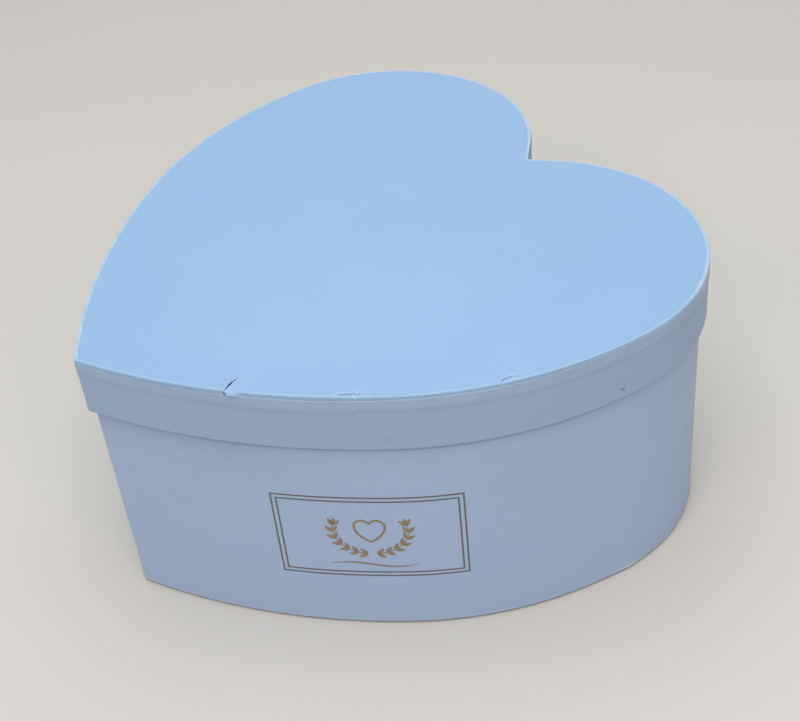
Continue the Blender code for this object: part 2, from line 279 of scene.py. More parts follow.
def heart_points(stations, inset):
    """Points of the heart at the given stations and inset, as rows of x and y."""
    way = np.abs(stations)
    points = np.zeros((len(way), 2))
    for number, (centre, radius, start, end) in enumerate(heart_arcs(inset)):
        share = (way - stretch_ends[number]) / stretches[number]
        angle = start + (end - start) * share
        on_arc = centre + radius * np.column_stack([np.cos(angle), np.sin(angle)])
        points = np.where((share >= 0)[:, None], on_arc, points)
    lobe_end = centre + radius * np.array([math.cos(end), math.sin(end)])
    share = ((way - stretch_ends[-2]) / CLEFT_RUN)[:, None]
    into_cleft = lobe_end - share * cleft_way * lobe_end[0] / cleft_way[0]
    points = np.where(share >= 0, into_cleft, points)
    points[:, 1] -= MIDDLE_Y
    points[:, 0] *= np.where(stations < 0, -1, 1)
    return points


def stations_round(spacing, finer=()):
    """Stations once round the heart, from cleft to cleft; finer lists middle, reach and spacing."""
    half = [np.linspace(start, end, max(6, round((end - start) / spacing)), endpoint=False)
            for start, end in zip(stretch_ends, stretch_ends[1:])]
    half = np.concatenate(half + [[HALF_ROUND]])
    whole = np.concatenate([-half[:0:-1], half])[1:]
    for middle, reach, closer in finer:
        kept = whole[np.abs(whole - middle) > reach + closer / 2]
        added = np.arange(middle - reach, middle + reach + closer / 2, closer)
        whole = np.sort(np.concatenate([kept, added]))
    return whole


def stations_along(spacing):
    """Stations once round the heart with the cleft at both ends, for a surface cut open there."""
    return np.concatenate([[-HALF_ROUND], stations_round(spacing)])


print("half round", round(HALF_ROUND, 4), "m, tip to cleft")

# %% [markdown]
# ## Sheets of paper
# Every wrap and lining is a sheet with a folded profile that runs round the heart. The profile
# holds insets and heights, its square corners get a small radius, and one ring of points is laid
# for each of its points. Solidify gives the sheet its thickness, and the rim that it makes along
# a cut edge gets a second material, because cut paper shows its white core there.

# %% Profiles and rings
FOLD_STEPS = 5
MITRE_STEP = 0.0002


def folded_profile(corners, radius, spacing):
    """Points of a sheet's outer face, as inset and height, with its square corners rounded."""
    corners = [Vector(corner) for corner in corners]
    points = [corners[0]]
    for before, corner, after in zip(corners, corners[1:], corners[2:]):
        arriving = (corner - before).normalized()
        leaving = (after - corner).normalized()
        centre = corner + radius * (leaving - arriving)
        for step in range(FOLD_STEPS + 1):
            angle = math.pi / 2 * step / FOLD_STEPS
            points.append(centre + radius * (arriving * math.sin(angle) - leaving * math.cos(angle)))
    points.append(corners[-1])
    dense = [points[0]]
    for start, end in zip(points, points[1:]):
        pieces = max(1, round((end - start).length / spacing))
        dense += [start.lerp(end, share / pieces) for share in range(1, pieces + 1)]
    return np.array(dense)


def laid_round(profile, stations, shape=None):
    """One ring of points for each point of a profile; shape gives how far each stands proud and up."""
    rings = []
    for inset, height in profile:
        ring = heart_points(stations, inset)
        level = np.full(len(stations), height)
        if shape:
            proud, lift = shape(stations, inset, height)
            outward = (heart_points(stations, inset - MITRE_STEP) - ring) / MITRE_STEP
            ring = ring + outward * np.reshape(proud, (-1, 1))
            level = level + lift
        rings.append(np.column_stack([ring, level]))
    return np.array(rings)


def smooth_step(value):
    """Goes smoothly from 0 to 1 as the value does."""
    value = np.clip(value, 0, 1)
    return value * value * (3 - 2 * value)


def bell(value, width):
    """1 at zero, falling off on both sides over about the width."""
    return np.exp(-(np.asarray(value) / width) ** 2)


# %% Sheets and finished pieces
PAPER = levels_of("floor_lining")[1] - levels_of("floor_lining")[0]
GLUE = levels_of("floor_lining")[0] - levels_of("base_board")[1]
SAME_POINT = 1e-6
SHARP_ANGLE = math.radians(45)


def put_values(piece, label, values):
    """Gives each point of a piece a number under a label, for shaders and trees to read."""
    piece.data.attributes.new(label, "FLOAT", "POINT").data.foreach_set("value", values)


def grid_object(name, rings, materials=(), closed=True, missing=None, wear=None,
                ends=(False, False)):
    """An object of quads through rings of points; ends says if the first and last ring are filled."""
    rows, columns = rings.shape[:2]
    number = np.arange(rows * columns).reshape(rows, columns)
    after = np.roll(number, -1, axis=1)
    faces = np.stack([number[:-1], after[:-1], after[1:], number[1:]], axis=-1)
    kept = np.ones(faces.shape[:2], bool) if missing is None else ~missing
    if not closed:
        kept[:, -1] = False
    faces = faces[kept].tolist()
    if ends[0]:
        faces.append(number[0, ::-1].tolist())
    if ends[1]:
        faces.append(number[-1].tolist())
    piece = mesh_object(name, rings.reshape(-1, 3).tolist(), faces=faces)
    values = np.zeros(rings.shape[:2]) if wear is None else np.broadcast_to(wear, rings.shape[:2])
    put_values(piece, "wear", values.ravel())
    joined = bmesh.new()
    joined.from_mesh(piece.data)
    if closed:
        bmesh.ops.remove_doubles(joined, verts=joined.verts, dist=SAME_POINT)
    if all(ends):
        bmesh.ops.recalc_face_normals(joined, faces=joined.faces)
    loose = [vert for vert in joined.verts if not vert.link_faces]
    bmesh.ops.delete(joined, geom=loose, context="VERTS")
    joined.to_mesh(piece.data)
    joined.free()
    for material in materials:
        piece.data.materials.append(material)
    return piece


def made_plain(piece):
    """Applies what is on a piece, so that its object holds a plain mesh without empty slots."""
    graph = bpy.context.evaluated_depsgraph_get()
    mesh = bpy.data.meshes.new_from_object(piece.evaluated_get(graph), depsgraph=graph)
    piece.modifiers.clear()
    piece.data = mesh
    mesh.name = piece.name
    for number in reversed(range(len(mesh.materials))):
        if mesh.materials[number] is None:
            mesh.materials.pop(index=number)
    return piece


def joined_into(piece, *others):
    """Makes one object of several."""
    with bpy.context.temp_override(active_object=piece, object=piece,
                                   selected_editable_objects=[piece, *others]):
        bpy.ops.object.join()
    return piece


def smoothed(piece):
    """Smooth shading, but not over sharp edges."""
    piece.data.shade_smooth()
    piece.data.set_sharp_from_angle(angle=SHARP_ANGLE)
    return piece


def thickened(piece, thickness):
    """Gives a sheet its thickness inwards."""
    solid = piece.modifiers.new("thickness", "SOLIDIFY")
    solid.thickness = thickness
    solid.offset = -1
    solid.use_quality_normals = True
    solid.material_offset_rim = len(piece.data.materials) - 1
    return smoothed(made_plain(piece))


def removed(*helpers):
    """Takes helper objects out of the scene once they have done their work."""
    for helper in helpers:
        bpy.data.objects.remove(helper)


def finish_piece(piece, body, nodes):
    """Puts a finished piece on its body, in place of the solids that it stands for."""
    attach(piece, body)
    if nodes:
        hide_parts(*nodes)
    print(piece.name, len(piece.data.polygons), "faces")


# %% [markdown]
# ## Cover paper
# The cover is coloured satin paper: even in colour, with a soft gloss, a grain too fine to see from
# a step away, and a slow waviness where the board below it isn't flat. The lid's top, its rim and
# the body are in three blues a little apart. These are painted light, standing in for light that
# differs more between them than these soft lamps do. Some folds rub pale with handling, and some pale
# lines are painted highlights. Creases, recesses, the lip's end and the gap under the rim get painted
# shade. Most follow a value that the sheets carry, above zero where paler and below it where darker;
# the body's bands follow height.

# %% Cover paper
# the three blues are lit and shaded copies of one paper: painted light for cooler light on the top and
# warmer, dimmer light on rim and body
TOP_BLUE = (0.360, 0.555, 0.820)
RIM_BLUE = (0.354, 0.480, 0.702)
BODY_BLUE = (0.408, 0.540, 0.784)
# the paler blue is rubbed paper and painted highlight, the darker blue is painted shade
RUB_AND_HIGHLIGHT_BLUE = (0.60, 0.73, 0.88)
PAINTED_SHADE_BLUE = (0.13, 0.215, 0.37)
SMUDGE = (0.06, 0.07, 0.09)
PAPER_CORE = (0.52, 0.66, 0.88)


def wear_and_light_of(tree):
    """The value of rub, painted highlight and painted shade that the sheets and boards carry."""
    return add_node(tree, "ShaderNodeAttribute", attribute_name="wear").outputs["Fac"]


def cover_paper(name, blue, marks=(), tone_bands=()):
    """Satin paper of one blue; marks are small smudges, tone bands are heights made paler or darker.

    A mark is a centre, a radius and a strength. A tone band is four heights, between the middle two of
    which it is full, and a strength that is positive where it is paler and negative where it is darker.
    """
    material, shader, place = new_material(name)
    tree = shader.id_data
    lighter = toned(blue, 1.025)
    colour = blend(blotches(place, 0.05, 4), toned(blue, 0.975), lighter)
    colour = blend(blotches(place, 0.0009, 5, 0.7, 0.35, 0.65), colour, lighter)
    patchy = blotches(place, 0.004, 5, 0.65, 0.42, 0.68, 0.45)
    wear = wear_and_light_of(tree)
    # paler where rubbed and where a highlight is painted, darker where shade is painted
    colour = blend(maths(tree, "MULTIPLY", wear, patchy), colour, RUB_AND_HIGHLIGHT_BLUE)
    colour = blend(remap(wear, 0.0, -1.0), colour, PAINTED_SHADE_BLUE)
    level = add_node(tree, "ShaderNodeSeparateXYZ", {0: place}).outputs["Z"]
    for foot, full_from, full_to, top, strength in tone_bands:
        falling = remap(level, top, full_to, 0.0, abs(strength))
        share = maths(tree, "MULTIPLY", remap(level, foot, full_from), falling)
        colour = blend(share, colour, RUB_AND_HIGHLIGHT_BLUE if strength > 0 else PAINTED_SHADE_BLUE)
    for centre, radius, strength in marks:
        away = add_node(tree, "ShaderNodeVectorMath", {0: place, 1: centre}, operation="DISTANCE")
        dirt_and_shade = remap(away.outputs["Value"], radius, 0.3 * radius, 0.0, strength)
        colour = blend(dirt_and_shade, colour, SMUDGE)
    waves = bump(noise(place, 0.030, 2), 0.00025)
    fill(shader, {"Base Color": colour, "Specular IOR Level": 0.45,
                  "Roughness": blotches(place, 0.012, 4, to_low=0.40, to_high=0.50),
                  "Normal": bump(noise(place, 0.0006, 6, 0.6), 0.00003, waves)})
    return material


cut_edge, shader, place = new_material("cut paper edge")
ragged = blotches(place, 0.0004, 4)
fill(shader, {"Base Color": blend(ragged, PAPER_CORE, RUB_AND_HIGHLIGHT_BLUE), "Roughness": 0.8,
              "Normal": bump(ragged, 0.00005)})

# %% [markdown]
# ## Lining paper, greyboard, tape and foil
# The lining is uncoated white paper with a few darker fibres. Greyboard is pressed from waste paper,
# so it is flecked and has layers at its edges. The corner tape is brown kraft paper with long
# fibres. The foil is a hot-stamped metal film: satin, a little uneven, and dark where it mirrors
# the room.

# %% Lining paper
white_lining, shader, place = new_material("white lining paper")
colour = blend(blotches(place, 0.03, 4), (0.76, 0.76, 0.74), (0.81, 0.81, 0.79))
flecks = blotches(stretched(place, 1, 1, 0.25), 0.0011, low=0.70, high=0.78, to_high=0.35)
fill(shader, {"Base Color": blend(flecks, colour, (0.52, 0.50, 0.46)), "Roughness": 0.85,
              "Normal": bump(noise(place, 0.0008, 6, 0.65), 0.00005)})

# %% Greyboard
CRACK_DARK = (0.006, 0.050, 0.160)

board_grey, shader, place = new_material("grey board")
colour = blend(blotches(place, 0.008, 5, 0.6), (0.29, 0.27, 0.24), (0.36, 0.34, 0.31))
pale = blotches(place, 0.0013, 4, low=0.62, high=0.72, to_high=0.6)
colour = blend(pale, colour, (0.55, 0.53, 0.50))
dark = blotches(place, 0.0021, 4, low=0.66, high=0.74, to_high=0.7)
colour = blend(dark, colour, (0.10, 0.10, 0.12))
rough = bump(noise(place, 0.0009, 6, 0.7), 0.00008)
plies = noise(stretched(place, 0.1, 0.1, 1), 0.0004)
# below zero, the boards' value paints them CRACK_DARK: painted shade in the crack and under the lip
fill(shader, {"Base Color": blend(remap(wear_and_light_of(shader.id_data), 0.0, -1.0), colour, CRACK_DARK),
              "Roughness": 0.95, "Normal": bump(plies, 0.00004, rough)})

# %% Corner tape
kraft, shader, place = new_material("kraft corner tape")
fibres = blotches(stretched(place, 1, 1, 0.12), 0.0006, 5, 0.6)
fill(shader, {"Base Color": blend(fibres, (0.50, 0.38, 0.25), (0.64, 0.52, 0.38)),
              "Roughness": 0.6, "Normal": bump(fibres, 0.00004)})

# %% Gold foil
FOIL_GOLD = (0.37, 0.30, 0.205)
FRAME_GOLD = (0.215, 0.20, 0.178)


def gold_foil(name, gold):
    """Satin metal film that is a little duller in patches."""
    material, shader, place = new_material(name)
    patchy = blotches(place, 0.0015, 4)
    fill(shader, {"Base Color": blend(patchy, gold, toned(gold, 0.86)), "Metallic": 0.75,
                  "Roughness": remap(patchy, 0.0, 1.0, 0.30, 0.42),
                  "Normal": bump(noise(place, 0.0007, 4), 0.00004)})
    return material


foil_gold = gold_foil("hot-stamped gold foil", FOIL_GOLD)
frame_gold = gold_foil("darker gold foil of the frame", FRAME_GOLD)

# %% [markdown]
# ## What a hand-made lid shows at its edge
# The lid's top sheet is turned down over the rim in a flange, cut into tabs where the wall is round,
# and the rim's own strip of paper covers that flange. So a low band shows through the strip, its
# lower border a little uneven, and above it a narrow stretch of the top sheet stays bare. Three tab
# joints on the printed side have been knocked: one has torn, and two are creased.

# %% Levels, insets and marks
FLANGE_FOOT, LID_TOP = levels_of("lid_top_sheet")
RIM_FOOT, RIM_WRAP_TOP = levels_of("lid_rim_wrap")
FLANGE_INSET = inset_of("lid_top_sheet")
BAND_INSET = 0.00020
EDGE_ROUND = 0.00045
TAB_PITCH = 0.050
KNOCKED_JOINTS = (0.0640, 0.1123, 0.1653)
NOTCH = 0.0003

rng = np.random.default_rng(11)
joints = np.concatenate([np.arange(-HALF_ROUND, 0.0, TAB_PITCH), [0.0, *KNOCKED_JOINTS],
                         np.arange(KNOCKED_JOINTS[-1] + TAB_PITCH, HALF_ROUND, TAB_PITCH),
                         [HALF_ROUND]])
tab_feet = FLANGE_FOOT + rng.uniform(-0.0007, 0.0004, len(joints) - 1)
printed_tab = int(np.searchsorted(joints, KNOCKED_JOINTS[0]))
tab_feet[printed_tab:printed_tab + 2] = (FLANGE_FOOT - 0.0004, FLANGE_FOOT + 0.0003)
print("tab joints at", np.round(1000 * joints).astype(int), "mm")

# %% [markdown]
# ## Laying flat work on a wall
# Tabs, leaves and printed lines repeat along the wall. They are designed flat, where x runs along
# the wall, y runs up or inwards and z stands proud, and one node group then lays them on a guide
# surface that has been unrolled into the same x and y. The group looks each point up in the
# guide's unrolled map, so a straight tab bends with the wall by itself.

# %% Guides and the node group that lays flat work on them
def guide_surface(name, rings, along, across):
    """A surface with an unrolled map: along and across are each point's place on the flat sheet."""
    guide = grid_object(name, rings, closed=False)
    flat = np.stack(np.broadcast_arrays(along, across[:, None]), axis=-1).reshape(-1, 2)
    corners = [loop.vertex_index for loop in guide.data.loops]
    unrolled = guide.data.uv_layers.new(name="unrolled")
    unrolled.data.foreach_set("uv", flat[corners].ravel())
    guide.data.shade_smooth()
    return guide


def new_geometry_tree(name, sizes):
    """A geometry tree with named inputs, as the tree, its inputs' sockets and its last node."""
    tree = bpy.data.node_groups.new(name, "GeometryNodeTree")
    tree.interface.new_socket("Geometry", in_out="INPUT", socket_type="NodeSocketGeometry")
    for label, kind in sizes.items():
        tree.interface.new_socket(label, in_out="INPUT", socket_type="NodeSocket" + kind)
    tree.interface.new_socket("Geometry", in_out="OUTPUT", socket_type="NodeSocketGeometry")
    return tree, add_node(tree, "NodeGroupInput").outputs, add_node(tree, "NodeGroupOutput")


def own_place(tree):
    """The position of each point, and its x, y and z."""
    place = add_node(tree, "GeometryNodeInputPosition")
    return place, add_node(tree, "ShaderNodeSeparateXYZ", {0: place}).outputs


def laying_group():
    """The node group: flat geometry and a guide object in, geometry laid on the guide out."""
    tree, given, end = new_geometry_tree("lay on a guide", {"Guide": "Object"})
    guide = add_node(tree, "GeometryNodeObjectInfo", {"Object": given["Guide"]}).outputs["Geometry"]
    flat, parts = own_place(tree)
    unrolled = add_node(tree, "GeometryNodeInputNamedAttribute", {"Name": "unrolled"},
                        data_type="FLOAT_VECTOR")
    position, normal = (add_node(tree, "GeometryNodeSampleUVSurface",
                                 {"Mesh": guide, "Value": add_node(tree, kind), "UV Map": unrolled,
                                  "Sample UV": flat}, data_type="FLOAT_VECTOR")
                        for kind in ("GeometryNodeInputPosition", "GeometryNodeInputNormal"))
    proud = add_node(tree, "ShaderNodeVectorMath", {0: normal, "Scale": parts["Z"]},
                     operation="SCALE")
    moved = add_node(tree, "GeometryNodeSetPosition",
                     {"Geometry": given["Geometry"], "Position": position, "Offset": proud})
    fill(end, {"Geometry": moved})
    return tree


def lay_and_paint(tree, flat, given, material, end):
    """The end of a tree: its instances become real, are laid on the guide and get a material."""
    real = add_node(tree, "GeometryNodeRealizeInstances", {0: flat})
    laid = add_node(tree, "GeometryNodeGroup", node_tree=lay_on_guide)
    fill(laid, {"Geometry": real, "Guide": given["Guide"]})
    fill(end, {"Geometry": add_node(tree, "GeometryNodeSetMaterial",
                                    {"Geometry": laid, "Material": material})})
    return tree


def run_tree(piece, tree, sizes):
    """Runs a geometry tree on a piece with the given inputs, and keeps the plain mesh."""
    modifier = piece.modifiers.new(tree.name, "NODES")
    modifier.node_group = tree
    for item in tree.interface.items_tree:
        if item.in_out == "INPUT" and item.name in sizes:
            modifier[item.identifier] = sizes[item.name]
    return made_plain(piece)


lay_on_guide = laying_group()

# %% [markdown]
# ## Tabs
# A margin of paper that is turned down or under is cut into tabs wherever the wall is round, with a
# notch between them, or it would crumple. A tab is a thin grid, so that it can bend, and a tree puts
# one on each point of a row of points, as wide and as long as that point says.

# %% Tree that makes a row of tabs
TAB_COLUMNS = 14
TAB_ROWS = 5
FLANGE_NOTCH = 0.04
UNDER_NOTCH = 0.16
ROOT_TUCK = 0.0001


def tab_tree():
    """Points with a width and a length become tabs that narrow by the notch and lie on a guide."""
    tree, given, end = new_geometry_tree(
        "row of tabs", {"Notch": "Float", "Guide": "Object", "Paper": "Material"})
    tab = add_node(tree, "GeometryNodeMeshGrid",
                   {"Size X": 1.0, "Size Y": 1.0, "Vertices X": TAB_COLUMNS, "Vertices Y": TAB_ROWS})
    width, length = (add_node(tree, "GeometryNodeInputNamedAttribute", {"Name": label},
                              data_type="FLOAT") for label in ("width", "length"))
    size = add_node(tree, "ShaderNodeCombineXYZ", {"X": width, "Y": length, "Z": 1.0})
    place, parts = own_place(tree)
    taper = maths(tree, "MULTIPLY", maths(tree, "SUBTRACT", 0.5, parts["Y"]), given["Notch"])
    across = maths(tree, "MULTIPLY", parts["X"], maths(tree, "SUBTRACT", 1.0, taper))
    shaped = add_node(tree, "ShaderNodeCombineXYZ", {"X": across, "Y": parts["Y"]})
    tab = add_node(tree, "GeometryNodeSetPosition", {"Geometry": tab, "Position": shaped})
    row = add_node(tree, "GeometryNodeMeshToPoints", {0: given["Geometry"]})
    hung = add_node(tree, "GeometryNodeInstanceOnPoints",
                    {"Points": row, "Instance": tab, "Scale": size})
    return lay_and_paint(tree, hung, given, given["Paper"], end)


row_of_tabs = tab_tree()


def tabs(name, joints, lengths, root, notch, guide, paper):
    """A row of tabs from joint to joint, hanging down from the root line."""
    centres = (joints[:-1] + joints[1:]) / 2
    row = mesh_object(name, [(x, y, 0) for x, y in zip(centres, root - lengths / 2)])
    put_values(row, "width", np.diff(joints) - 2 * NOTCH)
    put_values(row, "length", lengths)
    return run_tree(row, row_of_tabs, {"Notch": notch, "Guide": guide, "Paper": paper})


# %% [markdown]
# ## The tear
# A knock at one tab joint has split the top sheet from the edge inwards, and the corner beyond the
# split has sprung out over the rim as a lip. The grid of the sheet is sheared so that one of its
# columns runs along the split. That column is there twice, and its two copies are pulled apart.

# %% Shapes of the tear and the creases
FOLD_LINE = FLANGE_INSET + EDGE_ROUND
TEAR_START = KNOCKED_JOINTS[0]
TEAR_LEAN = 0.060
TEAR_DEPTH = 0.0092
TEAR_WIDTH = 0.0009
TEAR_GIVE = 0.0015
LIP_END = 0.0705
LIP_LENGTH = 0.0024
LIP_FALL = math.radians(12)
LIP_CURL = math.radians(70) / LIP_LENGTH
LIP_LEAN = 0.35
LIP_SETTLING = 0.0026
SHEAR_WIDTH = 0.0060
SHEAR_END = 0.0150
TOP_SLACK = 0.00016

# each crease is a line through stations and insets, its height, and its width
CREASES = (
    (((0.1059, 0.0022), (0.1089, 0.0024), (0.1122, 0.0029)), -0.00028, 0.00036),
    (((0.1123, 0.0013), (0.1128, 0.0024), (0.1142, 0.0028)), -0.00026, 0.00034),
    (((0.1122, 0.0015), (0.1123, 0.0003)), 0.00015, 0.00050),
    (((0.1189, 0.0021), (0.1259, 0.0017), (0.1320, 0.0019)), -0.00008, 0.00040),
    (((0.1649, 0.0012), (0.1653, 0.0019), (0.1664, 0.0028), (0.1690, 0.0032)), -0.00026, 0.00034),
    (((0.1690, 0.0032), (0.1716, 0.0027)), -0.00014, 0.00040),
    (((0.1656, 0.0010), (0.1656, 0.0002)), 0.00014, 0.00050),
    (((-0.3900, 0.00245), (0.3900, 0.00245)), -0.00002, 0.00045),
)


def tear_line(inset):
    """Station of the split's middle at an inset: it leans, and wanders a little."""
    return TEAR_START + TEAR_LEAN * inset + 0.00010 * math.sin(inset / 0.0010)


def tear_gap(inset):
    """Width of the split at an inset: widest before its middle, closed at its inner end."""
    share = inset / TEAR_DEPTH
    closing = smooth_step((1 - share) / 0.20)
    return TEAR_WIDTH * closing * (0.42 + 0.58 * bell(share - 0.45, 0.20))


def lip_share(stations):
    """How long the sprung lip is: its corner beside the split is rounded off."""
    return smooth_step((stations - TEAR_START + 0.0002) / 0.0024)


def distance_to(path, stations, inset):
    """Distance of points on the unrolled sheet from the line through a path's corners."""
    points = np.column_stack([stations, np.full(len(stations), inset)])
    nearest = np.ones(len(stations))
    for start, end in zip(np.array(path[:-1]), np.array(path[1:])):
        way = end - start
        share = np.clip((points - start) @ way / (way @ way), 0, 1)[:, None]
        nearest = np.minimum(nearest, np.linalg.norm(points - start - share * way, axis=1))
    return nearest


def crease_shade_and_highlight(stations, inset):
    """Painted shade in the valleys of the creases, a painted highlight on both sides of each, and on
    raised ridges.
    """
    shade_and_highlight = np.zeros(len(stations))
    for path, height, width in CREASES:
        if height < 0:
            away = distance_to(path, stations, inset)
            beside = bell(away - 2.1 * width, 0.9 * width)
            shade_and_highlight += abs(height) / 0.00028 * (0.45 * beside - 1.05 * bell(away, 0.85 * width))
        else:
            shade_and_highlight += 0.8 * bell(distance_to(path, stations, inset), 0.7 * width)
    return shade_and_highlight


def creased(stations, inset):
    """How far the top sheet stands out of its plane at its creases and beside the split."""
    raised = sum(height * bell(distance_to(path, stations, inset), width)
                 for path, height, width in CREASES)
    curl = bell(stations - tear_line(max(inset, 0.0)), 0.0013)
    return raised + 0.00016 * curl * smooth_step((TEAR_DEPTH - inset) / 0.003)


# %% Lid top sheet
FLANGE_SPACING = 0.0004
FLANGE_STRIP = 0.0036
CREASED = ((0.1129, 0.0060, 0.0003), (0.1675, 0.0050, 0.0003))
NEAR_TEAR = ((0.0671, 0.0060, 0.00025),)
CUT_ROOM = 0.00012
LEAN_REACH = 0.0020
FOLD_RUB_AND_HIGHLIGHT = 1.30
NEAR_FOLD_HIGHLIGHT = 0.45
ROLL_SHADE = 0.15
TORN_RUB = 1.3
LIP_RUB = 0.10
LIP_EDGE_SHADE = 0.9

top_stations = stations_round(0.0015, CREASED + NEAR_TEAR)
for cut in (TEAR_START, LIP_END):
    top_stations = top_stations[np.abs(top_stations - cut) > CUT_ROOM]
    top_stations = np.sort(np.append(top_stations, [cut, cut]))
left_of_tear = int(np.searchsorted(top_stations, TEAR_START))
left_of_lip_end = int(np.searchsorted(top_stations, LIP_END))
column = np.arange(len(top_stations))
in_lip = (column > left_of_tear) & (column <= left_of_lip_end)
tear_side = np.where(column > left_of_tear, 0.5, -0.5)
tear_side = tear_side * np.exp(-np.abs(top_stations - TEAR_START) / TEAR_GIVE)

top_level = LID_TOP - TOP_SLACK
edge_part = folded_profile([(FLANGE_INSET, top_level - FLANGE_STRIP), (FLANGE_INSET, top_level),
                            (FOLD_LINE + 0.0001, top_level)], EDGE_ROUND, FLANGE_SPACING)
# rings lie close together by the fold and wider apart inwards
inner_insets = np.concatenate([np.arange(FOLD_LINE + 0.0003, 0.0036, 0.0002),
                               np.arange(0.0038, 0.0098, 0.0004), [0.0104, 0.0120, 0.0140, 0.0160]])
profile = np.concatenate([edge_part, [(inset, top_level) for inset in inner_insets]])
steps = np.linalg.norm(np.diff(profile, axis=0), axis=1)
fold_at = int(np.argmax(profile[:, 0] > FOLD_LINE - SAME_POINT))
unrolled = np.cumsum(np.append(0.0, steps))
unrolled += FOLD_LINE - unrolled[fold_at]
facing = np.gradient(profile, axis=0)
facing /= np.linalg.norm(facing, axis=1, keepdims=True)


def top_ring(number):
    """One ring of the top sheet, creased, split and with its sprung lip."""
    inset, height = profile[number]
    along = unrolled[number]
    shift = tear_line(max(along, 0.0)) - TEAR_START
    shift *= smooth_step((SHEAR_END - along) / (SHEAR_END - TEAR_DEPTH))
    moved = top_stations + shift * bell(top_stations - TEAR_START, SHEAR_WIDTH)
    ring = heart_points(moved, inset)
    tangent = heart_points(moved + MITRE_STEP, inset) - heart_points(moved - MITRE_STEP, inset)
    tangent /= np.linalg.norm(tangent, axis=1, keepdims=True)
    outward = (heart_points(moved, inset - MITRE_STEP) - ring) / MITRE_STEP
    past = FOLD_LINE - along
    opened = tangent * (tear_side * tear_gap(max(along, 0.0)))[:, None]
    raised = creased(moved, along)
    level = height + facing[number, 0] * raised
    ring = ring + outward * (facing[number, 1] * raised)[:, None] + opened
    if 0 < past <= LIP_LENGTH:
        length = past * lip_share(moved)
        leaning = tangent * (LIP_LEAN * past * bell(top_stations - TEAR_START, LEAN_REACH))[:, None]
        lip = heart_points(moved, FOLD_LINE) + opened - leaning
        fallen = LIP_FALL + LIP_CURL * length
        lip = lip + outward * ((np.sin(fallen) - math.sin(LIP_FALL)) / LIP_CURL)[:, None]
        lip = np.column_stack([lip, top_level - (math.cos(LIP_FALL) - np.cos(fallen)) / LIP_CURL])
        settled = smooth_step((moved - LIP_END + LIP_SETTLING) / LIP_SETTLING)[:, None]
        lip += settled * (np.column_stack([ring, level]) - lip)
        ring = np.where(in_lip[:, None], lip[:, :2], ring)
        level = np.where(in_lip, lip[:, 2], level)
    return np.column_stack([ring, level])


rings = np.array([top_ring(number) for number in range(len(profile))])
cut_open = np.zeros((len(rings) - 1, len(top_stations)), bool)
cut_open[:, [left_of_tear, left_of_lip_end]] = True
last_of_lip = int(np.argmax(FOLD_LINE - unrolled <= LIP_LENGTH))
cut_open[last_of_lip - 1] |= in_lip & np.roll(in_lip, -1)

# 1 along the printed side of the heart, fading out at the tip and near the cleft
near_side = smooth_step((top_stations + 0.003) / 0.006) * smooth_step((0.262 - top_stations) / 0.02)
past_fold = FOLD_LINE - unrolled
# the far side's fold: a pale line that is partly rubbed paper and partly a painted highlight on the
# rounded fold
wear = FOLD_RUB_AND_HIGHLIGHT * np.outer(bell(past_fold + 0.00010, 0.00070), 1 - near_side)
# painted highlight along the near side's fold
wear += NEAR_FOLD_HIGHLIGHT * np.outer(bell(past_fold + 0.00040, 0.00035), near_side)
# painted shade on the near side's rolled strip, which lies in a recess under the rim's strip
wear -= ROLL_SHADE * np.outer(smooth_step((past_fold + 0.0001) / 0.0004), near_side)
# painted shade and painted highlights at the creases
wear += np.array([crease_shade_and_highlight(top_stations, inset) for inset in unrolled])
torn = (unrolled < TEAR_DEPTH) & (past_fold < 0.0003)
wear += TORN_RUB * np.outer(torn, bell(top_stations - TEAR_START, 0.00032))
# the lip is a little paler, and its curled end gets painted shade where it lies against the rim
wear[:, in_lip] = LIP_RUB - LIP_EDGE_SHADE * bell(past_fold - LIP_LENGTH, 0.00030)[:, None] * (
    1 - smooth_step((top_stations[in_lip] - LIP_END + 0.001) / 0.001))

TOP_MARKS = (((-0.0338, -0.0244, LID_TOP), 0.0006, 0.5), ((0.0056, -0.1095, LID_TOP), 0.0005, 0.3))
cover_top = cover_paper("cover paper of the lid's top", TOP_BLUE, TOP_MARKS)
top_sheet = grid_object("top_sheet", rings, [cover_top, cut_edge], missing=cut_open, wear=wear,
                        ends=(False, True))
print("top sheet", rings.shape[:2], "rings by stations, its lip begins at ring", last_of_lip)

# %% Tabs of the top sheet's flange
GUIDE_SPACING = 0.0015

round_flange = stations_along(GUIDE_SPACING)
flange_levels = np.array([RIM_FOOT, LID_TOP])
flange_rings = laid_round([(FLANGE_INSET, level) for level in flange_levels], round_flange)
flange_guide = guide_surface("flange_guide", flange_rings, round_flange, flange_levels)
tab_root = top_level - FLANGE_STRIP + ROOT_TUCK
flange_tabs = tabs("flange_tabs", joints, tab_root - tab_feet, tab_root, FLANGE_NOTCH, flange_guide,
                   cover_top)
removed(flange_guide)
thickened(joined_into(top_sheet, flange_tabs), PAPER)
finish_piece(top_sheet, "lid", ["lid_top_sheet"])

# %% [markdown]
# ## The rim's strip
# One strip of cover paper goes round the rim. It is glued over the flange, turned in under the
# rim's foot, and its two ends overlap beside the cleft. The band where it lies over the flange is
# worked out from the same tabs, so the uneven lower border and the faint joints agree with them.

# %% Relief of the rim's strip
OVERLAP = 0.012
OVERLAP_STEP = 0.00016
STEP_RUN = 0.00012
RIM_FACE = FLANGE_INSET
BAND_EDGE = 0.0009
BAND_DROP = 0.0008
CORNER_LIFT = 0.0006
DENT = 0.00010
DENT_WIDTH = 0.0006
HEM_FACE = inset_of("lid_rim_lining") - GLUE
RIM_HEM_TOP = 0.008
KNOCKED_FOLD = 0.1113
KNOCKED_LEAN = 0.11
EDGE_DROP = 0.00055

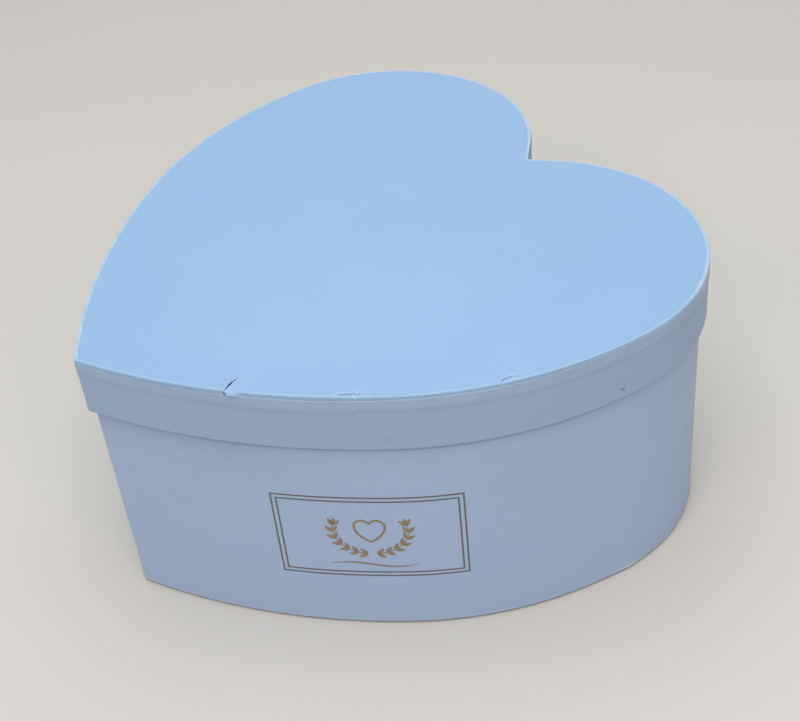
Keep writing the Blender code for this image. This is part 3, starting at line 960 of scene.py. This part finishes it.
# the strip's upper edge rises at a station, over a length, by a height
EDGE_RISES = ((0.085, 0.050, 0.00035), (0.160, 0.080, 0.00070))


def band_foot(stations):
    """Height of the band's lower border: each tab's own, bowed a little, with smooth corners."""
    tab = np.clip(np.searchsorted(joints, stations, side="right") - 1, 0, len(tab_feet) - 1)
    share = (stations - joints[tab]) / (joints[tab + 1] - joints[tab])
    return tab_feet[tab] - BAND_DROP + CORNER_LIFT * (1 - 4 * share * (1 - share)) ** 4


def rim_relief(stations, inset, height):
    """How far the rim's strip stands proud and up at each station of one ring."""
    if inset > RIM_FACE + SAME_POINT:
        return np.zeros(len(stations)), 0.0
    band = (RIM_FACE - BAND_INSET) * smooth_step((height - band_foot(stations)) / BAND_EDGE)
    nearest = np.min(np.abs(stations[:, None] - joints[None]), axis=1)
    sunk = DENT * bell(nearest, DENT_WIDTH) * smooth_step((height - FLANGE_FOOT) / 0.001)
    sunk += DENT * bell(stations - KNOCKED_FOLD - KNOCKED_LEAN * (height - LID_TOP), DENT_WIDTH)
    foot_fade = smooth_step((height - RIM_FOOT) / 0.003)
    slack = 0.00006 * np.sin(90 * stations + 1.0) * np.sin(700 * (height - RIM_FOOT)) * foot_fade
    ragged = 0.00006 * np.sin(2100 * stations) * np.sin(530 * stations + 1)
    nearer = sum(rise * smooth_step((stations - start) / reach) for start, reach, rise in EDGE_RISES)
    lift = (ragged + nearer - EDGE_DROP) * smooth_step((height - RIM_WRAP_TOP + 0.003) / 0.003)
    lap = OVERLAP_STEP * smooth_step((-HALF_ROUND + OVERLAP - stations) / STEP_RUN)
    return band - sunk + slack + lap, lift


# %% Lid rim wrap
STRIP_SPACING = 0.0016
RIM_FOLD = 0.0006
RIM_SPACING = 0.0007
EDGE_RUB = 0.15
HANDLED_EDGE_RUB = 0.70
RIM_FOOT_SHADE = 0.9
BAND_PALING = 0.15
UNDER_BAND_SHADE = 0.10
WEAR_AND_SHADE_REACH = 0.0020

# the rim's smudges: station, height, radius and strength
RIM_SMUDGES = ((0.2132, 0.1022, 0.0008, 0.65), (0.2124, 0.1025, 0.0008, 0.60),
               (0.1229, 0.1030, 0.0006, 0.45), (0.0135, 0.1060, 0.0006, 0.3))

seam_there = (-HALF_ROUND + OVERLAP, 0.0008, 0.0001)
knocked_there = tuple((joint, 0.0015, 0.0003) for joint in KNOCKED_JOINTS)
rim_stations = stations_round(STRIP_SPACING, (seam_there,) + knocked_there)
rim_profile = folded_profile([(HEM_FACE, RIM_FOOT + RIM_HEM_TOP), (HEM_FACE, RIM_FOOT),
                              (RIM_FACE, RIM_FOOT), (RIM_FACE, RIM_WRAP_TOP)], RIM_FOLD, RIM_SPACING)
rim_rings = laid_round(rim_profile, rim_stations, rim_relief)
rim_levels = rim_profile[:, 1:]
over_band = rim_levels - band_foot(rim_stations)
edge_rub = EDGE_RUB + HANDLED_EDGE_RUB * smooth_step((rim_stations - 0.050) / 0.050) * smooth_step(
    (0.21 - rim_stations) / 0.04)
rim_wear_and_shade = edge_rub * bell(rim_levels - RIM_WRAP_TOP, 0.0004)
# painted shade along the rim's foot, standing in for the shadow in the gap over the body
rim_wear_and_shade = rim_wear_and_shade - RIM_FOOT_SHADE * bell(rim_levels - RIM_FOOT, 0.00035)
# paler over the band where the strip lies over the flange
rim_wear_and_shade = rim_wear_and_shade + BAND_PALING * smooth_step(over_band / 0.0006)
# painted shade just below the band's lower border, where its step shades the strip
rim_wear_and_shade -= UNDER_BAND_SHADE * bell(over_band + 0.0006, 0.0011)
# wear and painted shade only on the rim's outer face
rim_wear_and_shade *= rim_profile[:, :1] < WEAR_AND_SHADE_REACH
rim_marks = [((*heart_points(np.array([station]), RIM_FACE)[0], height), radius, strength)
             for station, height, radius, strength in RIM_SMUDGES]
cover_rim = cover_paper("cover paper of the lid's rim", RIM_BLUE, rim_marks)
rim_wrap = grid_object("rim_wrap", rim_rings, [cover_rim, cut_edge], wear=rim_wear_and_shade)
thickened(rim_wrap, PAPER)
finish_piece(rim_wrap, "lid", ["lid_rim_wrap"])

# %% [markdown]
# ## The body's wrap
# The body wears one large sheet: turned under at the foot in tabs, up the wall, over the rim and
# down inside in a hem that the lining covers. It laps over itself beside the cleft, on the other
# side from the rim's strip, so that the two laps don't pile up.

# %% Body wrap
BODY_FACE = inset_of("body_wrap")
BODY_FOOT, BODY_RIM = levels_of("body_wrap")
BODY_HEM_FACE = inset_of("wall_lining") - GLUE
BODY_HEM = 0.014
UNDER_STRIP = 0.0014
UNDER_REACH = 0.018
UNDER_DEPTH = 0.0185
UNDER_TABS = 24
KINK = 0.2200
KINK_HEIGHT = 0.0008
KINK_TOP = 0.085
KINK_FADE = 0.070
KINK_REACH = 0.007
NICK_REACH = 0.0090
NICK_RUB = 2.5
WAVE_HEIGHT = 0.00007
WALL_FOLD = 0.0007
WALL_SPACING = 0.0032
FOOT_PALING = 0.05
PAINTED_RIM_SHADOW = 0.14
HEM_FOLD_RUB = 0.5


def wall_relief(stations, inset, height):
    """Slow waves of the bent board, a kink low in one lobe, and the lap of the sheet's end."""
    low = smooth_step((KINK_TOP - height) / KINK_FADE)
    low *= smooth_step((BODY_FACE + UNDER_STRIP - inset) / UNDER_STRIP)
    kink = KINK_HEIGHT * low * np.exp(-np.abs(stations - KINK) / KINK_REACH)
    if inset > BODY_FACE + SAME_POINT:
        return kink, 0.0
    ends = smooth_step((height - BODY_FOOT) / 0.010) * smooth_step((BODY_RIM - height) / 0.030)
    waves = np.sin(47 * stations + 0.4) + 0.6 * np.sin(83 * stations + 40 * height)
    lap = OVERLAP_STEP * smooth_step((stations - HALF_ROUND + OVERLAP) / STEP_RUN)
    return WAVE_HEIGHT * waves * ends + lap + kink, 0.0


body_stations = stations_round(STRIP_SPACING, ((HALF_ROUND - OVERLAP, 0.0008, 0.0001),))
body_profile = folded_profile([(BODY_FACE + UNDER_STRIP, BODY_FOOT), (BODY_FACE, BODY_FOOT),
                               (BODY_FACE, BODY_FOOT + 0.0020),
                               (BODY_FACE, BODY_RIM), (BODY_HEM_FACE, BODY_RIM),
                               (BODY_HEM_FACE, BODY_RIM - BODY_HEM)], WALL_FOLD, WALL_SPACING)
body_rings = laid_round(body_profile, body_stations, wall_relief)
body_levels = body_profile[:, 1]
nick = bell(body_stations - KINK, NICK_REACH) ** 4
shaded = smooth_step((0.085 - body_stations) / 0.03) * smooth_step((body_stations + 0.02) / 0.02)
body_wear_and_shade = NICK_RUB * np.outer(bell(body_levels - BODY_FOOT - 0.0012, 0.0010), nick)
# paler towards the foot
body_wear_and_shade += FOOT_PALING * smooth_step((0.035 - body_levels) / 0.02)[:, None]
# painted shadow of the rim on the upper wall, from the tip along the start of the printed side
body_wear_and_shade -= PAINTED_RIM_SHADOW * np.outer(smooth_step((body_levels - 0.078) / 0.018), shaded)
body_wear_and_shade += HEM_FOLD_RUB * bell(body_levels - BODY_RIM + 0.0002, 0.0005)[:, None]

# painted contact shadow where the sheet turns under, a paler line above it, and painted shadow of the
# lid's rim in a broad soft band and a narrow dark one below its foot, which stay when the lid is lifted
BELOW_ALL = (-1.0, -0.9)
BODY_SHADE_AND_PALE_BANDS = ((*BELOW_ALL, BODY_FOOT + 0.0006, BODY_FOOT + 0.0010, -1.0),
               (BODY_FOOT + 0.0004, BODY_FOOT + 0.0010, BODY_FOOT + 0.0014, BODY_FOOT + 0.0028, 0.22),
               (RIM_FOOT - 0.0070, RIM_FOOT - 0.0026, RIM_FOOT, RIM_FOOT + 0.0010, -0.10),
               (RIM_FOOT - 0.0032, RIM_FOOT - 0.0021, RIM_FOOT, RIM_FOOT + 0.0010, -0.36))
cover_body = cover_paper("cover paper of the body", BODY_BLUE, tone_bands=BODY_SHADE_AND_PALE_BANDS)
wall_wrap = grid_object("wall_wrap", body_rings, [cover_body, cut_edge], wear=body_wear_and_shade)

under_stations = stations_along(GUIDE_SPACING)
under_insets = np.linspace(BODY_FACE, BODY_FACE + UNDER_DEPTH, 10)[::-1]
under_rings = laid_round([(inset, BODY_FOOT) for inset in under_insets], under_stations)
under_guide = guide_surface("under_guide", under_rings, under_stations, BODY_FACE - under_insets)
under_joints = np.concatenate([np.linspace(-HALF_ROUND, 0, UNDER_TABS + 1),
                               np.linspace(0, HALF_ROUND, UNDER_TABS + 1)[1:]])
under_root = ROOT_TUCK - UNDER_STRIP
under_lengths = UNDER_REACH + under_root + rng.uniform(-0.0010, 0.0, len(under_joints) - 1)
under_tabs = tabs("under_tabs", under_joints, under_lengths, under_root, UNDER_NOTCH, under_guide,
                  cover_body)
removed(under_guide)
thickened(joined_into(wall_wrap, under_tabs), PAPER)
finish_piece(wall_wrap, "body", ["body_wrap"])

# %% [markdown]
# ## The print
# Hot foil is a metal film that a heated die presses into the paper, so it lies flat on the wall and
# bends with it. Frame, heart and wave are bands between two rows of flat points. The two sprigs
# come from a tree, because their leaves repeat along a stem. All of it is drawn flat, x along the
# wall from the tip and y up, and laid on the wall with the node group that laid the tabs.

# %% The wall unrolled, and bands of foil
PRINT_CENTRE = 0.1080
PRINT_MIDDLE = 0.0497
FOIL_RING = BODY_FACE - GLUE - 0.0001
FOIL_STANDOFF = 0.00007
FOIL_FILM = 0.00005

from_tip = np.arange(0.0, 0.1560, 0.0008)
walked = np.linalg.norm(np.diff(heart_points(from_tip, FOIL_RING), axis=0), axis=1)
along_wall = np.append(0.0, np.cumsum(walked))
printed = from_tip > 0.060
print_levels = np.arange(0.022, 0.0761, 0.002)
print_face = np.column_stack([np.full(len(print_levels), BODY_FACE), print_levels])
print_guide = guide_surface("print_guide", laid_round(print_face, from_tip[printed], wall_relief),
                            along_wall[printed], print_levels)


def foil_band(name, first, second, closed=False, foil=foil_gold):
    """Foil between two rows of flat points, given across and up from the print's centre."""
    rows = np.array([first, second], float) + (PRINT_CENTRE, PRINT_MIDDLE)
    rows = np.dstack([rows, np.full(rows.shape[:2], FOIL_STANDOFF)])
    return grid_object(name, rows, [foil], closed=closed)


def finish_foil(piece, node):
    """Lays flat foil on the wall, gives it the film's thickness and puts it on the body."""
    run_tree(piece, lay_on_guide, {"Guide": print_guide})
    finish_piece(thickened(piece, FOIL_FILM), "body", [node])


# %% Frame
BORDER_WIDTH = 0.0747
BORDER_HEIGHT = 0.0426
BORDER_GAP = 0.0020
BORDER_LINE = 0.0007


def rectangle(width, height):
    """Points round a rectangle, close enough together to bend with the wall."""
    corners = np.array([(-1, -1), (1, -1), (1, 1), (-1, 1), (-1, -1)]) * (width / 2, height / 2)
    sides = []
    for start, end, count in zip(corners, corners[1:], (60, 20, 60, 20)):
        shares = np.linspace(0, 1, count, endpoint=False)[:, None]
        sides.append(start + shares * (end - start))
    return np.concatenate(sides)


for name, gap in (("foil_border_outer", 0.0), ("foil_border_inner", BORDER_GAP)):
    width, height = BORDER_WIDTH - 2 * gap, BORDER_HEIGHT - 2 * gap
    outer = rectangle(width + BORDER_LINE, height + BORDER_LINE)
    inner = rectangle(width - BORDER_LINE, height - BORDER_LINE)
    line = foil_band(name.replace("foil_border", "frame_line"), outer, inner, True, frame_gold)
    finish_foil(line, name)

# %% Open heart and wave
MOTIF_HEART_WIDTH = 0.0130
MOTIF_HEART_LINE = 0.0010
MOTIF_HEART_RISE = 0.0035
FLOURISH_REACH = 0.0175
FLOURISH_DROP = 0.0150
FLOURISH_SWING = 0.0011
FLOURISH_LINE = 0.0009

shrink = MOTIF_HEART_WIDTH / (2 * HALF_WIDTH)
small_heart = [shrink * heart_points(stations_round(0.006), inset) + (0.0, MOTIF_HEART_RISE)
               for inset in (0.0, MOTIF_HEART_LINE / shrink)]
finish_foil(foil_band("heart_motif", *small_heart, closed=True), "foil_heart")

share = np.linspace(0, 1, 61)
rise = FLOURISH_SWING * np.sin(2 * math.pi * share) - FLOURISH_DROP
half_line = FLOURISH_LINE * (0.20 + 0.80 * np.sin(math.pi * share)) / 2
reach = FLOURISH_REACH * (2 * share - 1)
finish_foil(foil_band("wave_motif", np.column_stack([reach, rise - half_line]),
                      np.column_stack([reach, rise + half_line])), "foil_flourish")

# %% Tree that grows a sprig
LEAF_ROWS = 13
LEAF_LIFT = 0.000004


def sprig_tree():
    """A flat line becomes a stem that tapers, with leaves in pairs along it and one at its end."""
    sizes = {"Pairs": "Int", "Lean": "Float", "Leaf length": "Float", "Leaf width": "Float",
             "Stem width": "Float", "Guide": "Object", "Foil": "Material"}
    tree, given, end = new_geometry_tree("sprig of foil leaves", sizes)

    grid = add_node(tree, "GeometryNodeMeshGrid",
                    {"Size X": 1.0, "Size Y": 1.0, "Vertices X": LEAF_ROWS, "Vertices Y": 5})
    flat, parts = own_place(tree)
    along = maths(tree, "ADD", parts["X"], 0.5)
    half_turn = maths(tree, "MULTIPLY", maths(tree, "POWER", along, 0.75), math.pi)
    across = maths(tree, "MULTIPLY", maths(tree, "SINE", half_turn), parts["Y"])
    outline = add_node(tree, "ShaderNodeCombineXYZ", {"X": along, "Y": across, "Z": LEAF_LIFT})
    leaf = add_node(tree, "GeometryNodeSetPosition", {"Geometry": grid, "Position": outline})

    line = add_node(tree, "GeometryNodeMeshToCurve", {0: given["Geometry"]})
    line = add_node(tree, "GeometryNodeSetCurveNormal", {0: line}, mode="Z_UP")
    factor = add_node(tree, "GeometryNodeSplineParameter").outputs["Factor"]
    thinner = maths(tree, "MULTIPLY_ADD", factor, -0.5, 1.0)
    section = add_node(tree, "GeometryNodeCurvePrimitiveLine",
                       {"Start": (-0.5, 0, 0), "End": (0.5, 0, 0)})
    stem = add_node(tree, "GeometryNodeCurveToMesh",
                    {"Curve": line, "Profile Curve": section,
                     "Scale": maths(tree, "MULTIPLY", thinner, given["Stem width"])})

    knots = add_node(tree, "GeometryNodeCurveToPoints", {"Curve": line, "Count": given["Pairs"]},
                     mode="COUNT").outputs
    ahead = add_node(tree, "ShaderNodeSeparateXYZ", {0: knots["Tangent"]}).outputs
    heading = maths(tree, "ARCTAN2", ahead["Y"], ahead["X"])
    size = add_node(tree, "ShaderNodeCombineXYZ",
                    {"X": given["Leaf length"], "Y": given["Leaf width"], "Z": 1.0})
    at_end = maths(tree, "GREATER_THAN", add_node(tree, "GeometryNodeInputIndex").outputs[0],
                   maths(tree, "SUBTRACT", given["Pairs"], 1.5))
    everything = add_node(tree, "GeometryNodeJoinGeometry", {0: stem})
    for side in (-1, 0, 1):
        turned = maths(tree, "MULTIPLY_ADD", given["Lean"], float(side), heading)
        leaves = add_node(tree, "GeometryNodeInstanceOnPoints",
                          {"Points": knots["Points"], "Instance": leaf, "Scale": size,
                           "Rotation": add_node(tree, "ShaderNodeCombineXYZ", {"Z": turned})})
        if side == 0:
            fill(leaves, {"Selection": at_end})
        fill(everything, {0: leaves})
    return lay_and_paint(tree, everything, given, given["Foil"], end)


# %% Sprigs
WREATH_REACH = 0.0150
WREATH_DROP = 0.0125
WREATH_START = math.radians(-83)
WREATH_END = math.radians(14)
STEM_LINE = 0.0006
LEAF_LENGTH = 0.0042
LEAF_WIDTH = 0.0017
LEAF_LEAN = math.radians(36)
LEAF_PAIRS = 7

leafy_sprig = sprig_tree()
angles = np.linspace(WREATH_START, WREATH_END, 40)
for name, side in (("sprig_right", 1), ("sprig_left", -1)):
    stem_points = np.column_stack([side * WREATH_REACH * np.cos(angles) + PRINT_CENTRE,
                                   WREATH_DROP * np.sin(angles) + PRINT_MIDDLE + MOTIF_HEART_RISE,
                                   np.full(len(angles), FOIL_STANDOFF)])
    sprig = mesh_object(name, stem_points.tolist(), [(n, n + 1) for n in range(len(angles) - 1)])
    run_tree(sprig, leafy_sprig, {"Pairs": LEAF_PAIRS, "Lean": LEAF_LEAN, "Leaf length": LEAF_LENGTH,
                                  "Leaf width": LEAF_WIDTH, "Stem width": STEM_LINE,
                                  "Guide": print_guide, "Foil": foil_gold})
    finish_piece(thickened(sprig, FOIL_FILM), "body", ["foil_" + name])
removed(print_guide)

# %% [markdown]
# ## Boards
# The boards are bent greyboard strips and sheared hearts. Nothing of them shows but what the split
# opens: the knock cracked the rim's strip and the top board below it. The crack is painted a very
# dark blue, painted shade for the gap between two blue edges, and so is the rim's edge that the lip
# has left bare, in the lip's shadow. Those two boards are made again with the crack, and the others
# only get the greyboard's finish.

# %% Cracked boards
CRACK_WIDTH = 0.0013
CRACK_DEPTH = 0.0016
BOARD_BUTT = 0.0003
BOARD_ROUND = 0.0002
PLATE_REACH = 0.012

top_board_low, top_board_high = levels_of("lid_top_board")
top_board_inset = inset_of("lid_top_board")
rim_board_foot = levels_of("lid_rim_board_right")[0]
rim_board_face = inset_of("lid_rim_board_right")
rim_board_back = top_board_inset - GLUE


def at_upper_face(height):
    """1 on the boards' upper faces, 0 below them."""
    return smooth_step((height - top_board_high + 0.0006) / 0.0004)


def crack_share(stations, inset, height):
    """How deep a point lies in the notch along the line of the split, from 0 to 1."""
    closing = smooth_step((TEAR_DEPTH - inset) / 0.0015)
    share = 1 - np.abs(stations - tear_line(inset)) / (CRACK_WIDTH / 2)
    return closing * at_upper_face(height) * np.clip(share, 0, 1)


def cracked(stations, inset, height):
    """Lowers the boards' upper faces in the crack and under the creases."""
    dent = sum(min(depth, 0) * bell(distance_to(path, stations, inset), 0.0012)
               for path, depth, width in CREASES)
    return np.zeros(len(stations)), dent * at_upper_face(height) - CRACK_DEPTH * crack_share(
        stations, inset, height)


def crack_shade(stations, inset, height):
    """Painted shade on the boards: dark inside the crack, and where the lip has left the rim's edge
    bare.
    """
    upper = height > top_board_high - 0.0004
    bare = smooth_step((stations - TEAR_START + 0.002) / 0.001)
    bare = bare * smooth_step((LIP_END + 0.003 - stations) / 0.001) * (inset < rim_board_back + 0.0001)
    closing = smooth_step((TEAR_DEPTH + 0.002 - inset) / 0.001)
    crack = closing * np.clip(2.5 - np.abs(stations - tear_line(inset)) / (CRACK_WIDTH / 2), 0, 1)
    return -1.0 * upper * np.maximum(bare, crack)


def heart_plate(name, inset, foot, top, material, corner, shape=None, finer=(), dirt_and_shade=None):
    """A heart cut from a flat sheet, its edge all round and its two faces filled."""
    outline = folded_profile([(inset + PLATE_REACH, foot), (inset, foot), (inset, top),
                              (inset + PLATE_REACH, top)], corner, 0.0007)
    stations = stations_round(0.0015, finer)
    wear = np.array([dirt_and_shade(stations, *place) for place in outline]) if dirt_and_shade else None
    rings = laid_round(outline, stations, shape)
    return smoothed(grid_object(name, rings, [material], ends=(True, True), wear=wear))


in_crack = ((tear_line(0.004), 0.0022, 0.00011),)
cracked_top = heart_plate("cracked_top_board", top_board_inset, top_board_low, top_board_high,
                          board_grey, BOARD_ROUND, cracked, in_crack, crack_shade)
finish_piece(cracked_top, "lid", ["lid_top_board"])

across_board = [(rim_board_face, rim_board_foot), (rim_board_face, top_board_high - 0.0003),
                (rim_board_face + 0.0001, top_board_high), (rim_board_back - 0.0001, top_board_high),
                (rim_board_back, top_board_high - 0.0003), (rim_board_back, rim_board_foot)]
half_round = stations_round(0.0020, in_crack)
half_round = half_round[half_round >= 0]
strip = laid_round(across_board, half_round, cracked)
strip[..., 0] = np.maximum(strip[..., 0], BOARD_BUTT / 2)
strip_shade = np.array([crack_shade(half_round, *place) for place in across_board])
cracked_rim = grid_object("cracked_rim_board", strip.transpose(1, 0, 2), [board_grey],
                          wear=strip_shade.T, ends=(True, True))
finish_piece(smoothed(cracked_rim), "lid", ["lid_rim_board_right"])

# %% Finishes of the hidden solids
kept_solids = {board_grey: ("wall_board_right", "wall_board_left", "base_board",
                            "lid_rim_board_left"),
               kraft: ("tip_stay", "cleft_stay", "lid_tip_stay", "lid_cleft_stay")}
for material, names in kept_solids.items():
    for name in names:
        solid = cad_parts[name]
        for number in range(len(solid.data.materials)):
            solid.material_slots[number].material = material
        print(name, "in", material.name)

# %% [markdown]
# ## Linings
# White papers line the inside after the cover has been turned in, so a narrow margin of the cover
# stays in sight over the wall's lining. Each wall lining is one strip whose ends lap beside the
# cleft, and the flat hearts are cut a little small so that they drop in without rubbing.

# %% Wall linings
LINING_LAP = 0.010
LINING_STEP = 0.00012
LINING_RUN = 0.00015
LINING_ROWS = 30


def strip_lining(name, node, body, waves):
    """A strip of lining paper round the inside of a wall, with its lap and its wavy cut edges."""
    low, high = levels_of(node)
    rows = np.column_stack([np.full(LINING_ROWS, inset_of(node)), np.linspace(low, high, LINING_ROWS)])

    def slack(stations, inset, height):
        middle = smooth_step((height - low) / 0.006) * smooth_step((high - height) / 0.006)
        proud = 0.00006 * np.sin(waves * stations + 30 * height) * middle
        lap = LINING_STEP * smooth_step((stations - HALF_ROUND + LINING_LAP) / LINING_RUN)
        wavy = 0.00015 * (np.sin(3 * waves * stations) + np.sin(1.7 * waves * stations + 2))
        return proud - lap, wavy * (smooth_step((height - low) / (high - low)) - 0.5)

    stations = stations_round(0.0020, ((HALF_ROUND - LINING_LAP, 0.0008, LINING_RUN),))
    lining = grid_object(name, laid_round(rows, stations, slack), [white_lining])
    finish_piece(thickened(lining, PAPER), body, [node])


strip_lining("wall_paper", "wall_lining", "body", 47.0)
strip_lining("rim_paper", "lid_rim_lining", "lid", 61.0)

# %% Flat hearts of paper
LINING_CORNER = 0.00008


def cut_by_hand(stations, inset, height):
    """A cut edge that strays a tenth of a millimetre from its line."""
    return 0.00006 * (np.sin(210 * stations) + np.sin(97 * stations + 1)), 0.0


for name, node, body in (("floor_paper", "floor_lining", "body"), ("foot_paper", "bottom_sheet", "body"),
                         ("lid_paper", "lid_lining", "lid")):
    flat_paper = heart_plate(name, inset_of(node), *levels_of(node), white_lining, LINING_CORNER,
                             cut_by_hand)
    finish_piece(flat_paper, body, [node])
